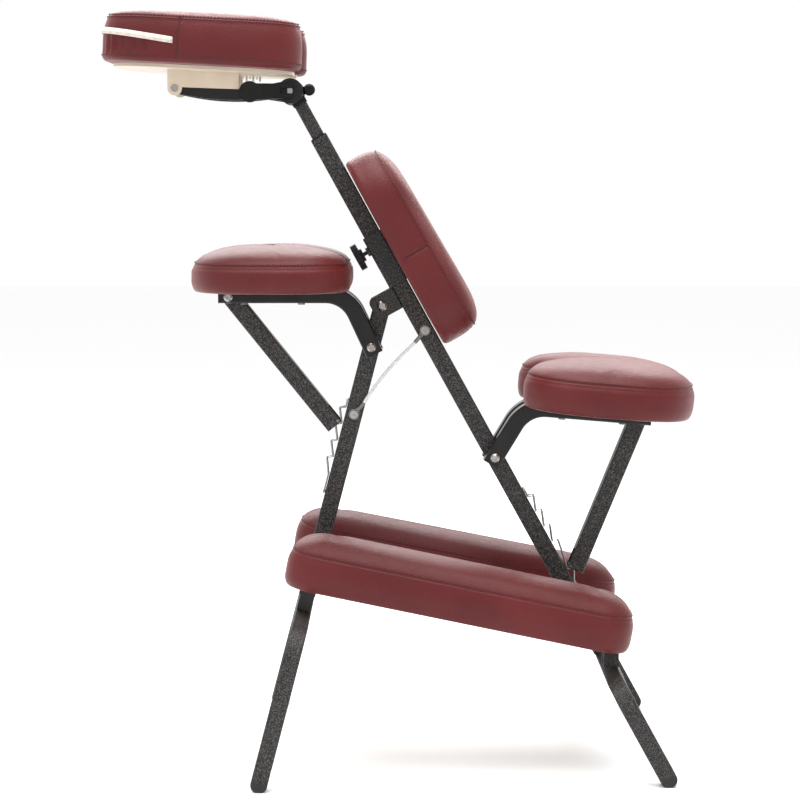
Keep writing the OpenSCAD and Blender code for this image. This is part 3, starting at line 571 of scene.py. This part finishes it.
    def faces(self, count_rows):
        """Quads between neighbouring rings."""
        n = len(self.outline)
        return [
            (r * n + k, r * n + (k + 1) % n, (r + 1) * n + (k + 1) % n, (r + 1) * n + k)
            for r in range(count_rows - 1)
            for k in range(n)
        ]

    def build(self, material):
        """Make the mesh, swell it, and hand it over in place of the plain CAD pad."""
        rings = self.relax(self.rings())
        self.world = apply_frame(rings, self.place)
        faces = self.faces(len(rings))
        obj = new_piece(self.name, self.world.reshape(-1, 3), faces, material)
        self.swell(obj)
        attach(obj, self.body)
        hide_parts(self.node)

    def swell(self, obj):
        """Let cloth pressure round the panels out between the pinned seam and underside."""
        before = np.array([v.co for v in obj.data.vertices])
        self.hold(obj, before)
        cloth = add_cloth(obj)
        scene = bpy.context.scene
        for step in range(1, SWELL_FRAMES + 1):
            scene.frame_set(step)
        swollen = obj.evaluated_get(bpy.context.evaluated_depsgraph_get())
        moved = np.array([v.co for v in swollen.data.vertices]) - before
        obj.modifiers.remove(cloth)
        scene.frame_set(1)
        size = np.linalg.norm(moved, axis=1)
        moved *= np.minimum(1.0, SWELL_CAP * MM / np.maximum(size, 1e-9))[:, None]
        obj.data.vertices.foreach_set("co", (before + moved).ravel())
        obj.data.update()

    def hold(self, obj, points):
        """Pin the seam and the underside."""
        inverse = np.array(self.place.inverted())
        local = (points @ inverse[:3, :3].T + inverse[:3, 3]) / MM
        held = np.exp(-(((local[:, 2] - self.side) / 3.0) ** 2))
        held = np.clip(held + (local[:, 2] < self.base + 9), 0, 1)
        group = obj.vertex_groups.new(name="held")
        for i, w in enumerate(held):
            group.add([i], float(w), "REPLACE")


def add_cloth(obj):
    """Cloth under steady pressure with gravity off, pinned by the group of held points."""
    cloth = obj.modifiers.new("cloth", "CLOTH")
    setup = cloth.settings
    setup.quality = 4
    setup.mass = 0.3
    setup.tension_stiffness = setup.compression_stiffness = 12
    setup.bending_stiffness = 0.6
    setup.use_pressure = True
    setup.uniform_pressure_force = 3.0
    setup.effector_weights.gravity = 0.0
    setup.vertex_group_mass = "held"
    cloth.collision_settings.use_collision = False
    cloth.point_cache.frame_end = SWELL_FRAMES
    return cloth


# ---------------------------------------------------------------- scene parts

def stitches(name, path, normals, material, body):
    """Row of thread stitches lying on a closed path of world points."""
    step = np.linalg.norm(np.roll(path, -1, axis=0) - path, axis=1)
    run = np.concatenate([[0], np.cumsum(step)])
    closed = np.vstack([path, path[:1]])
    facing = np.vstack([normals, normals[:1]])
    count = int(run[-1] / (THREAD_PITCH * MM))
    half, radius = THREAD_LENGTH * MM / 2, THREAD_RADIUS * MM

    def sample(at, rows):
        return np.array([np.interp(at, run, rows[:, k]) for k in range(3)])

    verts, faces = [], []
    for i in range(count):
        mid = run[-1] * (i + 0.5) / count
        centres = [sample(at % run[-1], closed) for at in (mid - half, mid, mid + half)]
        up = sample(mid, facing)
        add_stitch(verts, faces, centres, up / np.linalg.norm(up), radius)
    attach(new_piece(name, verts, faces, material), body)


def add_stitch(verts, faces, centres, up, radius, sides=5):
    """One raised stitch, thin at both ends and full in the middle."""
    ahead = centres[2] - centres[0]
    side = np.cross(up, ahead / max(np.linalg.norm(ahead), 1e-9))
    first = len(verts)
    for centre, thick, lift in zip(centres, (0.35, 1.0, 0.35), (0.0, 0.55, 0.0)):
        for q in range(sides):
            turn = 2 * math.pi * q / sides
            around = side * math.cos(turn) + up * math.sin(turn)
            verts.append(centre + up * radius * lift + around * radius * thick)
    for j in range(2):
        for q in range(sides):
            a, b = first + j * sides + q, first + j * sides + (q + 1) % sides
            faces.append((a, b, b + sides, a + sides))
    faces.append(tuple(first + q for q in range(sides))[::-1])
    faces.append(tuple(first + 2 * sides + q for q in range(sides)))


def pad_stitches(pad, offsets, thread):
    """Stitch rows beside a pad's seam, laid on its finished surface."""
    rings = pad.relax(pad.rings())
    for label, row in offsets.items():
        r = pad.seam_row + row
        ring = rings[r]
        across = rings[r + 1] - rings[r - 1]
        along = np.roll(ring, -1, axis=0) - np.roll(ring, 1, axis=0)
        up = np.cross(along, across)
        up /= np.linalg.norm(up, axis=1)[:, None]
        outward = np.column_stack([-pad.inward, np.full(len(ring), 0.4)])
        up *= np.sign((up * outward).sum(axis=1))[:, None]
        turn = np.array(pad.place)[:3, :3]
        path = apply_frame(ring + up * THREAD_LIFT, pad.place)
        stitches(f"{pad.name}_{label}", path, up @ turn.T, thread, pad.body)


# Section of the zip tape as (share of its half width, share of its thickness), slightly crowned.
TAPE_SECTION = ((-1, 0), (-0.9, 1), (0, 1.25), (0.9, 1), (1, 0), (0.9, -0.6), (-0.9, -0.6))


def ribbon(name, points, normals, up, material, body):
    """Flat band along world points, facing the normals."""
    up = np.array(up) / np.linalg.norm(up)
    half_width, thick = ZIP_HALF_WIDTH * MM, ZIP_THICK * MM
    verts, faces = [], []
    for p, normal in zip(points, normals):
        normal = normal / np.linalg.norm(normal)
        for a, b in TAPE_SECTION:
            verts.append(p + up * half_width * a + normal * thick * b)
    m = len(TAPE_SECTION)
    for i in range(len(points) - 1):
        for k in range(m):
            a, b = i * m + k, i * m + (k + 1) % m
            faces.append((a, b, b + m, a + m))
    faces.append(tuple(range(m))[::-1])
    faces.append(tuple(range((len(points) - 1) * m, len(points) * m)))
    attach(new_piece(name, verts, faces, material), body)


def tube_along(verts, faces, points, radius, sides=10):
    """Add a round tube along world points to lists of vertices and faces."""
    points = [Vector(p) for p in points]
    first = len(verts)
    for i, p in enumerate(points):
        d = (points[min(i + 1, len(points) - 1)] - points[max(i - 1, 0)]).normalized()
        a = d.cross(Vector((0, 1, 0.13))).normalized()
        b = d.cross(a)
        for k in range(sides):
            t = 2 * math.pi * k / sides
            verts.append(p + (a * math.cos(t) + b * math.sin(t)) * radius)
    for i in range(len(points) - 1):
        for k in range(sides):
            q, r = first + i * sides + k, first + i * sides + (k + 1) % sides
            faces.append((q, r, r + sides, q + sides))
    faces.append(tuple(first + k for k in range(sides))[::-1])
    faces.append(tuple(first + (len(points) - 1) * sides + k for k in range(sides)))


# ---------------------------------------------------------------- the pads

def face_folds(pad, rings):
    """Loose upright folds low on the wall, round the near front corner."""
    x, y = pad.outline[:, 0], pad.outline[:, 1]
    zone = smooth_step((-x - 62) / 14) * smooth_step((x + 142) / 10) * (y < -40)
    line = np.sin(pad.run * 2 * math.pi / PLEAT_PITCH + 0.8 * np.sin(pad.run / 9.0))
    low = np.exp(-(((rings[:, :, 2] - PLEAT_HEIGHT) / PLEAT_REACH) ** 2))
    return low * (zone * (line - 0.6))[None, :] * PLEAT_DEPTH


def knee_pads():
    """Two long pads side by side, each turned a little the other way."""
    for m, side_name in ((NEAR, "left"), (FAR, "right")):
        yield Pad(
            f"knee_pad_{side_name}", f"knee_cushion_{side_name}", "knee_rest",
            local_frame((81, m * 137, 228.1), pitch=11.3, yaw=m * 2.0),
            rounded_outline(length=507, width=125, radius=46), side=47, crown=28,
            recess=BOARD_RECESS, seed=3 + m, foot=(8.0, 17.0), skirt=4.0, shoulder=62.0,
        )


def seat_pad():
    return Pad(
        "seat_pad", "seat_cushion", "seat", local_frame((301.82, 0, 519.66), pitch=4.7),
        heart_outline(length=262, width=340, notch=42), side=38, crown=28,
        recess=BOARD_RECESS, seed=11, foot=(8.0, 16.0), shoulder=120.0, edge=16.0, skirt=8.0,
        bars=True,
    )


def arm_pad():
    return Pad(
        "arm_pad", "arm_cushion", "armrest", local_frame((-185.29, 0, 694.96), pitch=0, yaw=180),
        heart_outline(length=244, width=330, notch=42), side=32, crown=27,
        recess=BOARD_RECESS, seed=21, foot=(8.0, 15.0), shoulder=120.0, edge=14.0, skirt=6.6,
        bars=True,
    )


def chest_pad():
    join_x = 9.8
    beside = tuple(join_x + d for d in (-2.6, -1.2, 0.0, 1.2, 2.6))
    return Pad(
        "chest_pad", "chest_cushion", "chest_carriage", local_frame((-4.95, 0, 743.23), pitch=61.1),
        rounded_outline(length=302, width=250, radius=70, extra=beside), side=44, crown=20,
        recess=BOARD_RECESS, seed=31, foot=(5.0, 7.0), shoulder=100.0, edge=17.0, skirt=3.0,
        lean=0.06, joins=((join_x, NEAR), (join_x, FAR)),
    )


def face_pad():
    """Face cushion, lying on the cream tray that leans with it."""
    tray_x, tray_z, tray_thick, lean = -285, 1007, 5, 2.9
    turn = math.radians(lean)
    origin = (tray_x + tray_thick * math.sin(turn), 0, tray_z + tray_thick * math.cos(turn))
    return Pad(
        "face_pad", "face_cushion", "face_rest", local_frame(origin, pitch=lean),
        horseshoe_outline(length=288, width=280, radius=65, hole_r=46, slot=30), side=65, crown=8.6,
        drop=0.3, seed=41, foot=(9.0, 11.0), shoulder=34.0, edge=6.0, seam_in=6.0, folds=face_folds,
        joins=((-31, NEAR), (-31, FAR)),
    )


def make_pads():
    """Build every pad with its stitches and side joins; the face cushion comes last."""
    thread = materials["thread"]
    made = [*knee_pads(), seat_pad(), arm_pad(), chest_pad(), face_pad()]
    for pad in made:
        pad.build(materials["upholstery"])
        rows = {"stitch": 3}
        if pad.name == "face_pad":
            rows = {"stitch_upper": 3, "stitch_lower": -3, "stitch_foot": -17}
        pad_stitches(pad, rows, thread)
        panel_seams(pad, thread)
    return made


def panel_seams(pad, thread):
    """Sewn joins that cross the side panel from the underside to the seam; each is drawn as a
    continuous dark thread line that stands for its thread and also paints the shade of its crease.
    """
    wall_rows = 18
    wall = pad.world[pad.seam_row - wall_rows:pad.seam_row]
    for at_x, at_side in pad.joins:
        away = np.abs(pad.outline[:, 0] - at_x) + 1000 * (np.sign(pad.outline[:, 1]) != at_side)
        away += 1000 * (np.hypot(pad.outline[:, 0] - FACE_HOLE_X, pad.outline[:, 1]) < 90)
        k = int(away.argmin())
        out = np.array(pad.place)[:3, :3] @ np.array([*-pad.inward[k], 0.0])
        verts, faces = [], []
        # Painted shade: the dark line runs the join's full height where the crease's shade falls, as
        # well as standing for the thread.
        tube_along(verts, faces, wall[:, k] + out * JOIN_LIFT * MM, JOIN_RADIUS * MM, 6)
        side_name = "near" if at_side == NEAR else "far"
        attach(new_piece(f"{pad.name}_join_{side_name}", verts, faces, thread), pad.body)


def face_zip(pad):
    """Pale zip tape slanting round the near front corner of the face cushion."""
    x, y = pad.outline[:, 0] - FACE_HOLE_X, pad.outline[:, 1]
    near_front = (y < -30) & (pad.outline[:, 0] < -37) | (pad.outline[:, 0] < -143)
    outer = [int(k) for k in np.flatnonzero(near_front & (np.hypot(x, y) > 100))]
    outer.sort(key=lambda k: math.atan2(y[k], x[k]))
    start = pad.outline[outer, 0].max()
    turn = np.array(pad.place)[:3, :3]
    pts, nrms = [], []
    for k in outer:
        height = ZIP_END + ZIP_CLIMB * min(1.0, (start - pad.outline[k, 0]) / ZIP_CLIMB_LENGTH)
        flat = pad.outline[k] - pad.inward[k] * 0.3
        pts.append(apply_frame(np.array([[*flat, height]]), pad.place)[0])
        nrms.append(np.array([*(-pad.inward[k]), 0.0]) @ turn.T)
    up = np.array(pad.place)[:3, 2]
    ribbon("face_zip_tape", pts, nrms, up, materials["woven_tape"], pad.body)
    verts, faces = [], []
    line = [p + n * COIL_OUT * MM for p, n in zip(pts, nrms)]
    tube_along(verts, faces, line, COIL_RADIUS * MM, 8)
    coil = new_piece("face_zip_coil", verts, faces, materials["zip_coil"])
    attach(coil, pad.body)


def cable_ends():
    """Ends of the cable's middle line, worked out from the box of the straight CAD cable."""
    low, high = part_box("stay_cable")
    top = Vector((high.x, (low.y + high.y) / 2, high.z))
    bottom = Vector((low.x, top.y, low.z))
    ahead = (bottom - top).normalized()
    inset = Vector((abs(ahead.z), 0, abs(ahead.x))) * CABLE_RADIUS * MM
    return top - inset, bottom + inset, ahead


def stay_cable():
    """Wire rope in a clear jacket, bowed slightly between the two crimped eyes."""
    top, bottom, ahead = cable_ends()
    a = ahead.cross(Vector((0, 1, 0))).normalized()
    b = ahead.cross(a)
    bow = a * math.copysign(CABLE_BOW * MM, a.z)

    def along(t):
        return top.lerp(bottom, t) + bow * math.sin(math.pi * t)

    steps = 60
    line = [along(i / steps) for i in range(steps + 1)]
    verts, faces = [], []
    tube_along(verts, faces, line, CABLE_RADIUS * MM, 20)
    jacket = new_piece("stay_cable_jacket", verts, faces, materials["clear_jacket"])
    verts, faces = [], []
    for s in range(STRANDS):
        path = []
        for i in range(2 * steps + 1):
            t = 2 * math.pi * (s / STRANDS + i / (2 * steps) * CABLE_TURNS)
            aside = (a * math.cos(t) + b * math.sin(t)) * STRAND_OFFSET * MM
            path.append(along(i / (2 * steps)) + aside)
        tube_along(verts, faces, path, STRAND_RADIUS * MM, 6)
    tube_along(verts, faces, line, STRAND_RADIUS * MM, 6)
    rope = new_piece("stay_cable_rope", verts, faces, materials["cable"])
    for piece in (jacket, rope):
        tuple(top)
        tuple(bottom)
        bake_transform(piece)
        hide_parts("stay_cable")


# ---------------------------------------------------------------- CAD nodes, light and camera

def dress_cad_nodes():
    for name, obj in frame["nodes"].items():
        obj.data.materials.clear()
        obj.data.materials.append(materials[slot_of[name]])


def area_light(name, place, aim, size, power):
    lamp = bpy.data.lights.new(name, "AREA")
    lamp.shape = "RECTANGLE"
    lamp.size, lamp.size_y = size
    lamp.energy = power
    obj = bpy.data.objects.new(name, lamp)
    obj.location = place
    obj.rotation_euler = (Vector(aim) - Vector(place)).to_track_quat("-Z", "Y").to_euler()
    bpy.context.scene.collection.objects.link(obj)


def make_stage():
    bpy.ops.mesh.primitive_plane_add(size=30, location=(0, 0, 0))
    floor = bpy.context.object
    floor.name = "studio_floor"
    s = Shader("studio_floor", grey(0.97), 0.9, specular=0.1)
    s.colour(s.ramp(s.noise(2.0, 2.0), (0.2, grey(0.965)), (0.8, grey(0.975))))
    floor.data.materials.append(s.mat)
    floor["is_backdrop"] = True


def make_light():
    world = bpy.data.worlds.new("studio")
    bpy.context.scene.world = world
    world.use_nodes = True
    sky = world.node_tree.nodes["Background"]
    sky.inputs["Color"].default_value = (1.0, 1.0, 1.0, 1.0)
    sky.inputs["Strength"].default_value = 1.0
    area_light("overhead", (-0.2, -0.3, 2.9), (0.0, 0.0, 0.5), (3.0, 2.2), 92)
    area_light("back", (-0.1, 2.5, 2.2), (0.0, 0.0, 0.6), (3.2, 1.3), 62)
    area_light("front_left", (-2.2, -2.6, 1.9), (0.0, 0.0, 0.5), (1.2, 1.6), 8)


def make_camera():
    """Camera at the photo's place: square to the chair's side, above its middle, tipped down."""
    tip_down = 5.58
    camera = bpy.data.cameras.new("camera")
    camera.sensor_width = 36
    camera.lens = 99.95
    camera.clip_end = 60
    obj = bpy.data.objects.new("camera", camera)
    obj.location = (0.0, -3.3, 0.8455)
    obj.rotation_euler = (math.radians(90 - tip_down), 0, 0)
    bpy.context.scene.collection.objects.link(obj)
    bpy.context.scene.camera = obj


bpy.context.scene.view_settings.view_transform = "Standard"
materials = make_materials()

dress_cad_nodes()
pads = make_pads()
face_zip(pads[-1])
stay_cable()
make_stage()
make_light()
make_camera()

boxes = {"cad": cad_box, "visual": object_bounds()}
{k: [[float(x) for x in corner] for corner in v] for k, v in boxes.items()}
